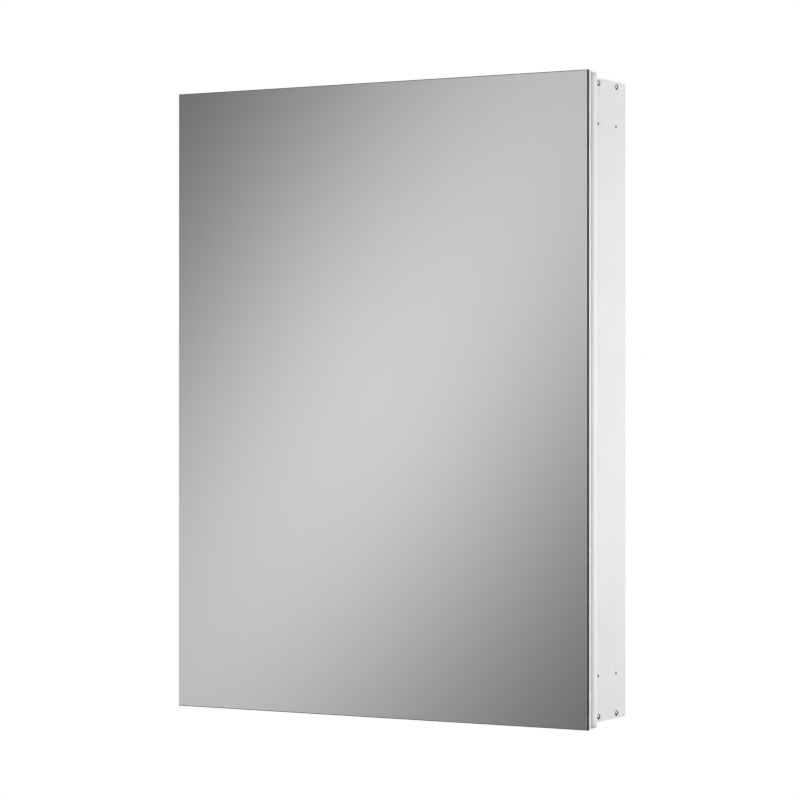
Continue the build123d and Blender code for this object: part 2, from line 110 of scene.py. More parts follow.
class Graph:
    """A node tree with short calls for the nodes that the finishes share."""

    def __init__(self, tree: bpy.types.NodeTree) -> None:
        """Start on an emptied tree.

        Args:
            tree: the node tree of a material or of the world.
        """
        self.tree = tree
        tree.nodes.clear()

    def add(self, kind: str, **settings: object) -> bpy.types.Node:
        """Add a node.

        Args:
            kind: the node's type name.
            settings: attributes to set on it.

        Returns:
            The new node.
        """
        node = self.tree.nodes.new(kind)
        for name, value in settings.items():
            setattr(node, name, value)
        return node

    def feed(self, socket: Socket, value: object) -> None:
        """Give a socket a constant, or link it to another socket.

        Args:
            socket: the input socket.
            value: a number, a colour, or the output socket to link from.
        """
        if isinstance(value, Socket):
            self.tree.links.new(value, socket)
        elif isinstance(value, tuple) and socket.type == "RGBA":
            socket.default_value = (*value, 1.0)[:4]
        else:
            socket.default_value = value

    def math(self, operation: str, *values: object) -> Socket:
        """Add a Math node.

        Args:
            operation: the operation's name.
            values: numbers or sockets, in order.

        Returns:
            Its result.
        """
        node = self.add("ShaderNodeMath", operation=operation)
        for socket, value in zip(node.inputs, values):
            self.feed(socket, value)
        return node.outputs[0]

    def blend(self, factor: object, first: object, second: object) -> Socket:
        """Mix two colours.

        Args:
            factor: 0 for the first colour, 1 for the second.
            first: a colour or a socket.
            second: a colour or a socket.

        Returns:
            The mixed colour.
        """
        node = self.add("ShaderNodeMix", data_type="RGBA")
        self.feed(node.inputs[0], factor)
        self.feed(node.inputs[6], first)
        self.feed(node.inputs[7], second)
        return node.outputs[2]

    def spread(self, value: object, low: float, high: float, start: float = 0.0,
               end: float = 1.0) -> Socket:
        """Map a value from one range to another, and clamp it there.

        Args:
            value: the value to map.
            low: the result at the start of the range.
            high: the result at its end.
            start: the start of the value's range.
            end: the end of the value's range.

        Returns:
            The mapped value.
        """
        node = self.add("ShaderNodeMapRange")
        for socket, given in zip(node.inputs, (value, start, end, low, high)):
            self.feed(socket, given)
        return node.outputs[0]

    def place(self, stretch: Colour = (1.0, 1.0, 1.0)) -> Socket:
        """Object coordinates, stretched along the axes.

        Args:
            stretch: the factor on each axis.

        Returns:
            The coordinate vector.
        """
        coordinates = self.add("ShaderNodeTexCoord")
        mapping = self.add("ShaderNodeMapping")
        self.feed(mapping.inputs["Vector"], coordinates.outputs["Object"])
        mapping.inputs["Scale"].default_value = stretch
        return mapping.outputs[0]

    def noise(self, vector: object, scale: float, detail: float = 2.0) -> Socket:
        """Smooth noise.

        Args:
            vector: where to read it.
            scale: features per metre.
            detail: how many finer layers it has.

        Returns:
            The noise value, round 0.5.
        """
        node = self.add("ShaderNodeTexNoise")
        self.feed(node.inputs["Vector"], vector)
        self.feed(node.inputs["Scale"], scale)
        self.feed(node.inputs["Detail"], detail)
        return node.outputs[0]

    def bump(self, height: object, strength: float, distance: float) -> Socket:
        """Turn a height into a surface normal.

        Args:
            height: the height pattern.
            strength: how much of it shows.
            distance: the height of a full step, in metres.

        Returns:
            The normal.
        """
        node = self.add("ShaderNodeBump")
        self.feed(node.inputs["Strength"], strength)
        self.feed(node.inputs["Distance"], distance)
        self.feed(node.inputs["Height"], height)
        return node.outputs[0]

    def axes(self) -> tuple[Socket, ...]:
        """Object coordinates, one socket for each axis.

        Returns:
            The sockets for X, Y and Z.
        """
        split = self.add("ShaderNodeSeparateXYZ")
        self.feed(split.inputs[0], self.place())
        return tuple(split.outputs)

    def patches(self, place: object, scale: float, first: Colour,
                second: Colour) -> Socket:
        """Two colours in soft patches.

        Args:
            place: where to read the pattern.
            scale: patches per metre.
            first: one colour.
            second: the other colour.

        Returns:
            The colour.
        """
        cloud = self.noise(place, scale, CLOUD_DETAIL)
        return self.blend(self.spread(cloud, 0.0, 1.0, *CLOUD_RANGE), first, second)

    def uneven(self, pattern: object, middle: float, swing: Range) -> Socket:
        """A roughness that follows a pattern.

        Args:
            pattern: the pattern.
            middle: the roughness that it swings round.
            swing: how far below and above.

        Returns:
            The roughness.
        """
        return self.spread(pattern, middle - swing[0], middle + swing[1], *GRAIN_RANGE)


def new_material(name: str) -> tuple[Material, Graph]:
    """Make a material with an empty node tree.

    Args:
        name: the material's name.

    Returns:
        The material and its graph.
    """
    material = bpy.data.materials.new(name)
    material.use_nodes = True
    return material, Graph(material.node_tree)


# Finishes


@dataclass(frozen=True)
class Finish:
    """A named finish; each kind lays out its own surface."""

    name: str

    def surface(self, graph: Graph) -> dict[str, object]:
        """Lay out the nodes and give the surface shader's inputs."""
        raise NotImplementedError

    def material(self) -> Material:
        """Make the finish's material.

        Returns:
            The material.
        """
        material, graph = new_material(self.name)
        inputs = self.surface(graph)
        shader = graph.add("ShaderNodeBsdfPrincipled")
        for name, value in inputs.items():
            graph.feed(shader.inputs[name], value)
        output = graph.add("ShaderNodeOutputMaterial")
        graph.feed(output.inputs["Surface"], shader.outputs[0])
        return material


@dataclass(frozen=True)
class PowderCoat(Finish):
    """A satin white coat with a faint orange peel."""

    light: Colour = (0.87, 0.87, 0.87)
    shade: Colour = (0.845, 0.845, 0.848)
    roughness: float = 0.38
    gloss: float = 0.45
    peel_scale: float = 900.0
    peel_strength: float = 0.35
    peel_height: float = 0.00002

    def surface(self, graph: Graph) -> dict[str, object]:
        """Lay out the coat.

        Args:
            graph: the material's graph.

        Returns:
            The shader's inputs.
        """
        place = graph.place()
        peel = graph.noise(place, self.peel_scale)
        grain = graph.noise(place, self.peel_scale * GRAIN_TO_PEEL)
        return {
            "Base Color": graph.patches(place, CLOUD_SCALE, self.light, self.shade),
            "Roughness": graph.uneven(grain, self.roughness, COAT_SWING),
            "Specular IOR Level": self.gloss,
            "Normal": graph.bump(peel, self.peel_strength, self.peel_height),
        }


@dataclass(frozen=True, kw_only=True)
class SideCoat(PowderCoat):
    """The case's white coat, with painted shade at its front and back edges and in the fixing
    holes.
    """

    front: float
    back: float
    hole_radius: float
    hole_depths: Range
    hole_height: float
    # painted shade: near-black walls in the fixing holes
    hole_shade: Colour = (0.035, 0.035, 0.033)
    hole_gloss: float = 0.1
    # painted shade: the darker white the coat takes towards its front and back edges
    edge: Colour = (0.755, 0.755, 0.757)
    front_fade: float = 0.018
    front_falloff: float = 1.6
    back_fade: float = 0.0025

    def surface(self, graph: Graph) -> dict[str, object]:
        """Lay out the coat with its painted shade at the edges and in the holes.

        Args:
            graph: the material's graph.

        Returns:
            The shader's inputs.
        """
        inputs = super().surface(graph)
        _, depth, height = graph.axes()
        inside = self.in_holes(graph, depth, height)
        # Painted shade: the coat darkens towards its front edge, next to the door, and along its
        # back edge.
        front = graph.spread(depth, 1.0, 0.0, self.front, self.front + self.front_fade)
        back = graph.spread(depth, 0.0, 1.0, self.back - self.back_fade, self.back)
        edges = graph.math("MAXIMUM", graph.math("POWER", front, self.front_falloff), back)
        edge_shaded = graph.blend(edges, inputs["Base Color"], self.edge)
        # Painted shade: the walls of the holes are near black and less glossy.
        inputs["Base Color"] = graph.blend(inside, edge_shaded, self.hole_shade)
        inputs["Specular IOR Level"] = graph.spread(inside, self.gloss, self.hole_gloss)
        return inputs

    def in_holes(self, graph: Graph, depth: object, height: object) -> Socket:
        """Tell the walls of the holes from the rest.

        Args:
            graph: the material's graph.
            depth: the place along Y.
            height: the place along Z.

        Returns:
            1 in a hole and 0 elsewhere.
        """
        upwards = graph.math("SUBTRACT", graph.math("ABSOLUTE", height), self.hole_height)
        holes = []
        for hole_depth in self.hole_depths:
            inwards = graph.math("SUBTRACT", depth, hole_depth)
            squares = graph.math("ADD", graph.math("MULTIPLY", inwards, inwards),
                                 graph.math("MULTIPLY", upwards, upwards))
            holes.append(graph.math("LESS_THAN", graph.math("SQRT", squares), self.hole_radius))
        return graph.math("MAXIMUM", *holes)


@dataclass(frozen=True, kw_only=True)
class FrameCoat(PowderCoat):
    """The white coat of the door's crowned rim, with painted shade at its front, a painted
    highlight at its back and a warm painted shade at its corners.
    """

    half_width: float
    half_height: float
    front: float
    back: float
    light: Colour = (0.875, 0.875, 0.875)
    shade: Colour = (0.855, 0.855, 0.855)
    roughness: float = 0.34
    # painted shade: a grey on the front of the rim
    front_shade: Colour = (0.42, 0.42, 0.415)
    front_shade_depth: float = 0.0075
    # painted highlight: a brighter white on the back of the rim
    rear_highlight: Colour = (0.94, 0.94, 0.937)
    rear_highlight_depth: float = 0.006
    # painted shade: a dark, warm grey towards the ends of the rim, at its corners
    corner: Colour = (0.40, 0.395, 0.355)
    corner_length: float = 0.0095
    corner_end: float = 0.1
    corner_falloff: float = 1.3
    corner_depths: Range = (0.002, 0.006)
    corner_at_back: float = 0.45

    def surface(self, graph: Graph) -> dict[str, object]:
        """Lay out the coat, with shade and a highlight painted by depth and shade painted near the
        corners.

        Args:
            graph: the material's graph.

        Returns:
            The shader's inputs.
        """
        inputs = super().surface(graph)
        sideways, depth, upwards = graph.axes()
        # Painted shade: darker towards the rim's front.
        in_front_shade = graph.spread(depth, 1.0, 0.0, self.front, self.front + self.front_shade_depth)
        # Painted highlight: brighter towards the rim's back.
        on_rear_highlight = graph.spread(depth, 0.0, 1.0, self.back - self.rear_highlight_depth, self.back)
        highlighted = graph.blend(on_rear_highlight, inputs["Base Color"], self.rear_highlight)
        shaded = graph.blend(in_front_shade, highlighted, self.front_shade)
        # Painted shade: darker and warmer towards the corners.
        corner = self.corner_shade_share(graph, sideways, depth, upwards)
        peel = graph.noise(graph.place(), self.peel_scale)
        inputs["Base Color"] = graph.blend(corner, shaded, self.corner)
        inputs["Roughness"] = graph.uneven(peel, self.roughness, COAT_SWING)
        return inputs

    def corner_shade_share(self, graph: Graph, sideways: object, depth: object,
                  upwards: object) -> Socket:
        """How much of the painted corner shade shows.

        Args:
            graph: the material's graph.
            sideways: the place along X.
            depth: the place along Y.
            upwards: the place along Z.

        Returns:
            From 0 away from a corner to 1 at its tip.
        """
        length = self.corner_length
        near_side = graph.spread(graph.math("ABSOLUTE", sideways), 0.0, 1.0,
                                 self.half_width - length, self.half_width)
        near_end = graph.spread(graph.math("ABSOLUTE", upwards), 0.0, 1.0,
                                self.half_height - length,
                                self.half_height - self.corner_end * length)
        start, end = (self.front + reach for reach in self.corner_depths)
        towards_back = graph.spread(depth, 1.0, self.corner_at_back, start, end)
        corner = graph.math("POWER", graph.math("MINIMUM", near_side, near_end),
                            self.corner_falloff)
        return graph.math("MULTIPLY", corner, towards_back)


@dataclass(frozen=True)
class SilveredGlass(Finish):
    """Mirror glass: silver behind the front, a dim arris, dark polished edges, grey paint."""

    front: float
    back: float
    arris_depth: float
    silver: Colour = (0.955, 0.96, 0.957)
    haze_loss: float = 0.985
    edge: Colour = (0.008, 0.010, 0.009)
    arris: Colour = (0.036, 0.039, 0.038)
    paint: Colour = (0.30, 0.31, 0.32)
    edge_roughness: float = 0.16
    paint_roughness: float = 0.6
    film_roughness: Range = (0.004, 0.014)
    gloss: float = 0.02
    skin: float = 0.00004

    def surface(self, graph: Graph) -> dict[str, object]:
        """Lay out the glass by depth from its front face.

        Args:
            graph: the material's graph.

        Returns:
            The shader's inputs.
        """
        depth = graph.math("SUBTRACT", graph.axes()[1], self.front)
        past_face = graph.math("GREATER_THAN", depth, self.skin)
        is_edge = graph.math("GREATER_THAN", depth, self.arris_depth + self.skin)
        is_back = graph.math("GREATER_THAN", depth, self.back - self.front - self.skin)
        roller = graph.noise(graph.place((1.0, 1.0, 0.25)), 5.0, 1.0)
        haze = graph.noise(graph.place(), 60.0, 4.0)
        sides = graph.blend(is_back, graph.blend(is_edge, self.arris, self.edge), self.paint)
        silver = graph.blend(graph.spread(haze, 0.0, 0.35, 0.45, 0.75), self.silver,
                             tuple(self.haze_loss * part for part in self.silver))
        edge_roughness = graph.spread(is_back, self.edge_roughness, self.paint_roughness)
        film = graph.spread(haze, *self.film_roughness, 0.4, 0.7)
        return {
            "Base Color": graph.blend(past_face, silver, sides),
            "Metallic": graph.math("SUBTRACT", 1.0, is_edge),
            "Roughness": graph.math("ADD", graph.math("MULTIPLY", edge_roughness, past_face), film),
            "Specular IOR Level": self.gloss,
            "Normal": graph.bump(roller, 0.1, 0.00002),
        }


@dataclass(frozen=True)
class ShelfGlass(Finish):
    """Clear float glass whose edges show green."""

    half_length: float
    front: float
    back: float
    clear: Colour = (0.965, 0.99, 0.98)
    green: Colour = (0.40, 0.72, 0.62)
    edge_band: Range = (0.0003, 0.0009)
    roughness: Range = (0.01, 0.12)
    transmission: Range = (1.0, 0.55)
    refraction: float = 1.5

    def surface(self, graph: Graph) -> dict[str, object]:
        """Lay out the glass, green within a hair of the edge.

        Args:
            graph: the material's graph.

        Returns:
            The shader's inputs.
        """
        sideways, depth, _ = graph.axes()
        middle = (self.front + self.back) / 2
        half_depth = (self.back - self.front) / 2
        along = graph.math("SUBTRACT", self.half_length, graph.math("ABSOLUTE", sideways))
        offset = graph.math("ABSOLUTE", graph.math("SUBTRACT", depth, middle))
        across = graph.math("SUBTRACT", half_depth, offset)
        edge = graph.spread(graph.math("MINIMUM", along, across), 1.0, 0.0, *self.edge_band)
        ripple = graph.noise(graph.place((1.0, 1.0, 4.0)), 90.0, 2.0)
        return {
            "Base Color": graph.blend(edge, self.clear, self.green),
            "Roughness": graph.spread(edge, *self.roughness),
            "Transmission Weight": graph.spread(edge, *self.transmission),
            "IOR": self.refraction,
            "Normal": graph.bump(ripple, 0.04, 0.00002),
        }


@dataclass(frozen=True)
class DrawnMetal(Finish):
    """Bare metal with fine lines along one axis."""

    light: Colour
    dark: Colour
    roughness: float = 0.3
    grain: Point = (60.0, 60.0, 1.0)
    grain_scale: float = 30.0
    line_height: float = 0.00001
    line_share: float = 0.6
    stain_share: float = 0.4

    def surface(self, graph: Graph) -> dict[str, object]:
        """Lay out the metal with its lines and stains.

        Args:
            graph: the material's graph.

        Returns:
            The shader's inputs.
        """
        lines = graph.noise(graph.place(self.grain), self.grain_scale, 3.0)
        stain = graph.noise(graph.place(), 55.0, 3.0)
        tone = graph.math("ADD", graph.math("MULTIPLY", lines, self.line_share),
                          graph.math("MULTIPLY", stain, self.stain_share))
        spread = graph.spread(tone, 0.0, 1.0, *GRAIN_RANGE)
        return {
            "Base Color": graph.blend(spread, self.dark, self.light),
            "Metallic": 1.0,
            "Roughness": graph.uneven(lines, self.roughness, METAL_SWING),
            "Normal": graph.bump(lines, 0.3, self.line_height),
        }


@dataclass(frozen=True)
class Spangle(Finish):
    """Zinc coating, in faint crystals."""

    light: Colour = (0.70, 0.71, 0.72)
    dark: Colour = (0.52, 0.53, 0.55)
    crystals: float = 260.0
    roughness: Range = (0.30, 0.46)

    def surface(self, graph: Graph) -> dict[str, object]:
        """Lay out the crystals.

        Args:
            graph: the material's graph.

        Returns:
            The shader's inputs.
        """
        cells = graph.add("ShaderNodeTexVoronoi")
        graph.feed(cells.inputs["Vector"], graph.place())
        graph.feed(cells.inputs["Scale"], self.crystals)
        split = graph.add("ShaderNodeSeparateColor")
        graph.feed(split.inputs[0], cells.outputs["Color"])
        haze = graph.noise(graph.place(), 1400.0, 2.0)
        return {
            "Base Color": graph.blend(split.outputs[0], self.dark, self.light),
            "Metallic": 1.0,
            "Roughness": graph.spread(split.outputs[1], *self.roughness),
            "Normal": graph.bump(haze, 0.2, 0.00001),
        }


@dataclass(frozen=True)
class Moulded(Finish):
    """Plastic, rubber or ferrite with a fine surface grain."""

    light: Colour
    dark: Colour
    roughness: float = 0.5
    cloud_scale: float = 45.0
    grain_scale: float = 1100.0
    grain_height: float = 0.00003
    translucence: float = 0.0

    def surface(self, graph: Graph) -> dict[str, object]:
        """Lay out the moulding.

        Args:
            graph: the material's graph.

        Returns:
            The shader's inputs.
        """
        place = graph.place()
        grain = graph.noise(place, self.grain_scale, 3.0)
        return {
            "Base Color": graph.patches(place, self.cloud_scale, self.light, self.dark),
            "Roughness": graph.uneven(grain, self.roughness, MOULDED_SWING),
            "Transmission Weight": self.translucence,
            "Normal": graph.bump(grain, 0.4, self.grain_height),
        }


def box_of(node: str) -> tuple[Vector, Vector]:
    """The lowest and highest corner of a CAD node.

    Args:
        node: the node's name.

    Returns:
        Both corners, in metres.
    """
    low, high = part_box(node)
    return Vector(low), Vector(high)


def dress(material: Material, *nodes: str) -> None:
    """Give CAD nodes a finish in place of the plain one they came with.

    Args:
        material: the finish.
        nodes: the names of the nodes.
    """
    for name in nodes:
        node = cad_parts[name]
        for slot in node.material_slots:
            slot.material = material
        if not node.material_slots:
            node.data.materials.append(material)
        log.info("dressed %s in %s", name, material.name)


# Modelling by hand


def deselect_everything() -> None:
    """Leave object mode's selection empty."""
    if bpy.context.object and bpy.context.object.mode != "OBJECT":
        bpy.ops.object.mode_set(mode="OBJECT")
    bpy.ops.object.select_all(action="DESELECT")


def select_faces(piece: bpy.types.Object, height: float, tolerance: float = 0.001) -> None:
    """In edit mode, select the faces that lie at one height and face along Z.

    Args:
        piece: the object in edit mode.
        height: the height of the faces' centres.
        tolerance: how far off they may be.
    """
    bpy.ops.mesh.select_all(action="DESELECT")
    bpy.ops.object.mode_set(mode="OBJECT")
    for face in piece.data.polygons:
        level = abs(face.center.z - height) < tolerance
        face.select = level and abs(face.normal.z) > LEVEL_NORMAL
    bpy.ops.object.mode_set(mode="EDIT")


def extrude_and_scale(drop: float, factor: float) -> None:
    """Extrude the selected face down and scale it about its own centre.

    Args:
        drop: how far down.
        factor: the scale of the new face.
    """
    bpy.ops.mesh.extrude_region_move(TRANSFORM_OT_translate={"value": (0, 0, -drop)})
    bpy.ops.transform.resize(value=(factor, factor, 1))


@dataclass(frozen=True)
class Screw:
    """A screw with a cross recess and a thread, in millimetres, along -Z from its seat at 0."""

    style: HeadStyle
    head_radius: float
    head_height: float
    shank_radius: float
    length: float
    recess_radius: float
    recess_width: float
    recess_depth: float
    pitch: float = 1.0
    thread_depth: float = 0.12
    sides: int = 32

    def build(self, name: str) -> bpy.types.Object:
        """Model one screw at the origin.

        Args:
            name: the object's name.

        Returns:
            The screw.
        """
        deselect_everything()
        top = self.add_head()
        screw = bpy.context.object
        screw.name = name
        self.add_thread()
        bpy.ops.object.mode_set(mode="OBJECT")
        self.cut_recess(screw, top)
        bpy.ops.object.select_all(action="DESELECT")
        screw.select_set(True)
        bpy.context.view_layer.objects.active = screw
        bpy.ops.object.shade_smooth_by_angle(angle=SMOOTH_ANGLE)
        return screw

    def add_head(self) -> float:
        """Model the head, and leave the face under it selected in edit mode.

        Returns:
            The height of the head's top.
        """
        if self.style is HeadStyle.DOMED:
            rise = self.head_height
            dome = (self.head_radius ** 2 + rise ** 2) / (2 * rise)
            bpy.ops.mesh.primitive_uv_sphere_add(segments=self.sides, ring_count=3 * self.sides,
                                                 radius=dome, location=(0, 0, rise - dome))
            bpy.ops.object.transform_apply(location=True)
            bpy.ops.object.mode_set(mode="EDIT")
            bpy.ops.mesh.select_all(action="SELECT")
            bpy.ops.mesh.bisect(plane_co=(0, 0, 0), plane_no=(0, 0, 1), clear_inner=True,
                                use_fill=True)
            seat = 0.0
            top = rise
        else:
            sunk = self.style is HeadStyle.COUNTERSUNK
            thickness = SUNK_RIM_HEIGHT if sunk else self.head_height
            middle = -thickness / 2
            bpy.ops.mesh.primitive_cylinder_add(vertices=self.sides, radius=self.head_radius,
                                                depth=thickness, location=(0, 0, middle))
            bpy.ops.object.transform_apply(location=True)
            bpy.ops.object.mode_set(mode="EDIT")
            seat = -thickness
            top = 0.0
        select_faces(bpy.context.object, seat)
        if self.style is HeadStyle.COUNTERSUNK:
            extrude_and_scale(self.head_height - SUNK_RIM_HEIGHT,
                              self.shank_radius / self.head_radius)
        else:
            bpy.ops.mesh.inset(thickness=self.head_radius - self.shank_radius, depth=0)
        return top

    def add_thread(self) -> None:
        """Extrude the shank down in ridges, and taper its end to a point."""
        head = 0.0 if self.style is HeadStyle.DOMED else self.head_height
        ridges = int((self.length - head - self.pitch) / self.pitch)
        root = 1 - self.thread_depth / self.shank_radius
        extrude_and_scale(RUN_IN * self.pitch, root)
        for _ in range(ridges):
            extrude_and_scale(ROOT_LENGTH * self.pitch, 1.0)
            extrude_and_scale(FLANK_LENGTH * self.pitch, 1 / root)
            extrude_and_scale(CREST_LENGTH * self.pitch, 1.0)
            extrude_and_scale(FLANK_LENGTH * self.pitch, root)
        extrude_and_scale(POINT_LENGTH * self.pitch, POINT_RADIUS)

    def cut_recess(self, screw: bpy.types.Object, top: float) -> None:
        """Cut the two tapered slots of the cross recess.

        Args:
            screw: the screw in object mode.
            top: the height of the head's top.
        """
        for turn in (0.0, math.pi / 2):
            bpy.ops.object.select_all(action="DESELECT")
            bpy.ops.mesh.primitive_cube_add(size=1.0, location=(0, 0, top))
            cutter = bpy.context.object
            cutter.scale = (2 * self.recess_radius, self.recess_width, 2 * self.recess_depth)
            cutter.rotation_euler = (0, 0, turn)
            bpy.ops.object.transform_apply(location=True, rotation=True, scale=True)
            bpy.ops.object.mode_set(mode="EDIT")
            select_faces(cutter, top - self.recess_depth)
            bpy.ops.transform.resize(value=(RECESS_TAPER, RECESS_TAPER, 1))
            bpy.ops.object.mode_set(mode="OBJECT")
            slot = screw.modifiers.new("recess", "BOOLEAN")
            slot.operation = "DIFFERENCE"
            slot.solver = "EXACT"
            slot.object = cutter
            bpy.ops.object.select_all(action="DESELECT")
            screw.select_set(True)
            bpy.context.view_layer.objects.active = screw
            bpy.ops.object.modifier_apply(modifier=slot.name)
            bpy.data.objects.remove(cutter, do_unlink=True)


def set_of_screws(name: str, pattern: bpy.types.Object, places: list[Matrix], body: Body,
                  material: Material) -> None:
    """Copy a screw to its places, as one piece that stands for a CAD node.

    Args:
        name: the CAD node's name; the piece gets it with a word added.
        pattern: the screw, in millimetres at the origin.
        places: where each copy goes, in metres.
        body: the body it rides on.
        material: its finish.
    """
    copies = []
    for number, place in enumerate(places):
        mesh = pattern.data.copy()
        mesh.transform(place @ Matrix.Scale(MILLIMETRE, 4))
        copies.append(bpy.data.objects.new(f"{name}_copy_{number}", mesh))
        bpy.context.scene.collection.objects.link(copies[-1])
    deselect_everything()
    for copy in copies:
        copy.select_set(True)
    piece = copies[0]
    bpy.context.view_layer.objects.active = piece
    bpy.ops.object.join()
    piece.name = f"{name}_detailed"
    piece.data.materials.clear()
    piece.data.materials.append(material)
    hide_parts(name)
    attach(piece, body.value)
    log.info("built %s from %d screws", piece.name, len(places))


def aim(x: float, y: float, z: float, turn: Matrix) -> Matrix:
    """A place with a direction.

    Args:
        x: to the right.
        y: into the wall.
        z: up.
        turn: the rotation.

    Returns:
        The matrix of both.
    """
    return Matrix.Translation((x, y, z)) @ turn


INTO_WALL = Matrix.Rotation(math.radians(90), 4, "X")
OUT_OF_WALL = Matrix.Rotation(math.radians(-90), 4, "X")
INTO_RIGHT_SIDE = Matrix.Rotation(math.radians(90), 4, "Y")
INTO_LEFT_SIDE = Matrix.Rotation(math.radians(-90), 4, "Y")


def evenly(count: int, low: float, high: float) -> list[float]:
    """Evenly spaced values.

    Args:
        count: how many.
        low: the first.
        high: the last.

    Returns:
        The values.
    """
    return [low + (high - low) * number / (count - 1) for number in range(count)]


# Sub-assemblies


@dataclass
class Case:
    """The white case: side, top, bottom and back panels, rails and their screws."""

    head_radius: float = 0.0030
    small_head_radius: float = SMALL_HEAD_RADIUS
    side_hole_radius: float = 0.0015
    side_hole_front: float = 0.0085
    side_hole_spacing: float = 0.041
    side_hole_end: float = 0.0461
    back_screws_per_side: int = 5
    back_screws_per_deck: int = 3
    side_screw_end: float = 0.022
    deck_screw_side: float = 0.0508
    hole_wall_margin: float = 0.00003

    def dress_panels(self) -> None:
        """Coat the panels and plate the rails."""
        dress(PowderCoat("white_case_coat").material(), "top_panel", "bottom_panel")
        low, high = box_of("side_panel_right")
        front_hole = low.y + self.side_hole_front
        sides = SideCoat("white_side_coat", front=low.y, back=high.y,
                         hole_radius=self.side_hole_radius + self.hole_wall_margin,
                         hole_depths=(front_hole, front_hole + self.side_hole_spacing),
                         hole_height=high.z - self.side_hole_end).material()
        dress(sides, "side_panel_right", "side_panel_left")
        sheet = PowderCoat("white_back_sheet", light=(0.86, 0.86, 0.86),
                           shade=(0.83, 0.83, 0.835), roughness=0.45, peel_scale=600.0).material()
        dress(sheet, "back_panel")
        dress(Spangle("zinc_rail").material(), "fixing_rail_upper", "fixing_rail_lower")

    def build_corner_screws(self, material: Material) -> None:
        """Put a domed screw at each corner of both sides.

        Args:
            material: their finish.
        """
        low, high = box_of("corner_screws")
        side = box_of("side_panel_right")[1].x
        screw = Screw(HeadStyle.DOMED, head_radius=self.head_radius / MILLIMETRE,
                      head_height=(high.x - side) / MILLIMETRE, shank_radius=1.8, length=18.0,
                      recess_radius=1.4, recess_width=0.6, recess_depth=0.9, pitch=1.4,
                      sides=48).build("corner_screw_pattern")
        places = []
        for y in (low.y + self.head_radius, high.y - self.head_radius):
            for z in (low.z + self.head_radius, high.z - self.head_radius):
                places.append(aim(side, y, z, INTO_RIGHT_SIDE))
                places.append(aim(-side, y, z, INTO_LEFT_SIDE))
        set_of_screws("corner_screws", screw, places, Body.CABINET, material)
        bpy.data.objects.remove(screw, do_unlink=True)

    def build_back_screws(self, screw: bpy.types.Object, material: Material) -> None:
        """Put the countersunk screws round the back panel.

        Args:
            screw: the countersunk pattern.
            material: their finish.
        """
        high = box_of("back_screws")[1]
        case_high = box_of("side_panel_right")[1]
        side = high.x - self.small_head_radius
        deck = high.z - self.small_head_radius
        end = case_high.z - self.side_screw_end
        reach = case_high.x - self.deck_screw_side
        places = [aim(x, high.y, z, OUT_OF_WALL)
                  for x in (-side, side)
                  for z in evenly(self.back_screws_per_side, -end, end)]
        places += [aim(x, high.y, z, OUT_OF_WALL)
                   for z in (-deck, deck)
                   for x in evenly(self.back_screws_per_deck, -reach, reach)]
        set_of_screws("back_screws", screw, places, Body.CABINET, material)


@dataclass
class ShelfSet:
    """The glass shelves with their clips and clamping screws."""

    names: tuple[str, ...] = ("upper", "middle", "lower")
    screw_radius: float = 0.0027

    def dress_shelves(self) -> None:
        """Give the shelves their glass and the clips their metal."""
        low, high = box_of("shelf_upper")
        glass = ShelfGlass("shelf_glass_clear", half_length=high.x, front=low.y,
                           back=high.y).material()
        clip = DrawnMetal("clip_aluminium", light=(0.80, 0.80, 0.81), dark=(0.66, 0.67, 0.68),
                          roughness=0.32, grain=(1.0, 60.0, 60.0)).material()
        for name in self.names:
            dress(glass, f"shelf_{name}")
            dress(clip, f"shelf_clips_{name}")

    def build_clip_screws(self, material: Material) -> None:
        """Put a clamping screw in each clip.

        Args:
            material: their finish.
        """
        for name in self.names:
            node = f"clip_screws_{name}"
            low, high = box_of(node)
            face = self.clip_face(node)
            screw = Screw(HeadStyle.CHEESE, head_radius=self.screw_radius / MILLIMETRE,
                          head_height=2.0, shank_radius=1.5, length=(high.x - face) / MILLIMETRE,
                          recess_radius=1.6, recess_width=0.6, recess_depth=1.1,
                          pitch=0.7).build("clip_screw_pattern")
            height = (low.z + high.z) / 2
            places = []
            for y in (low.y + self.screw_radius, high.y - self.screw_radius):
                places.append(aim(face, y, height, INTO_LEFT_SIDE))
                places.append(aim(-face, y, height, INTO_RIGHT_SIDE))
            set_of_screws(node, screw, places, Body.CABINET, material)
            bpy.data.objects.remove(screw, do_unlink=True)

    def clip_face(self, node: str) -> float:
        """How far from the middle the screws' heads lie.

        Args:
            node: the CAD node of the screws.

        Returns:
            The distance along X, in metres.
        """
        return min(abs(vertex.co.x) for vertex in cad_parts[node].data.vertices)


@dataclass
class ContinuousHinge:
    """The two leaves, their pin and their screws."""

    head_radius: float = SMALL_HEAD_RADIUS
    screws_per_leaf: int = 9

    def dress_leaves(self) -> None:
        """Brush the leaves and the pin."""
        steel = DrawnMetal("brushed_hinge_steel", light=(0.70, 0.70, 0.71), dark=(0.50, 0.50, 0.51),
                           roughness=0.30).material()
        wire = DrawnMetal("drawn_pin_steel", light=(0.62, 0.62, 0.63), dark=(0.42, 0.42, 0.43),
                          roughness=0.24).material()
        dress(steel, "hinge_leaf_case", "hinge_leaf_door")
        dress(wire, "hinge_pin")

    def build_screws(self, screw: bpy.types.Object, material: Material) -> None:
        """Put the countersunk screws in both leaves.

        Args:
            screw: the countersunk pattern.
            material: their finish.
        """
        for node, turn, body in (("hinge_screws_case", INTO_WALL, Body.CABINET),
                                 ("hinge_screws_door", OUT_OF_WALL, Body.DOOR)):
            low, high = box_of(node)
            face = low.y if turn is INTO_WALL else high.y
            heights = evenly(self.screws_per_leaf, low.z + self.head_radius,
                             high.z - self.head_radius)
            places = [aim((low.x + high.x) / 2, face, z, turn) for z in heights]
            set_of_screws(node, screw, places, body, material)


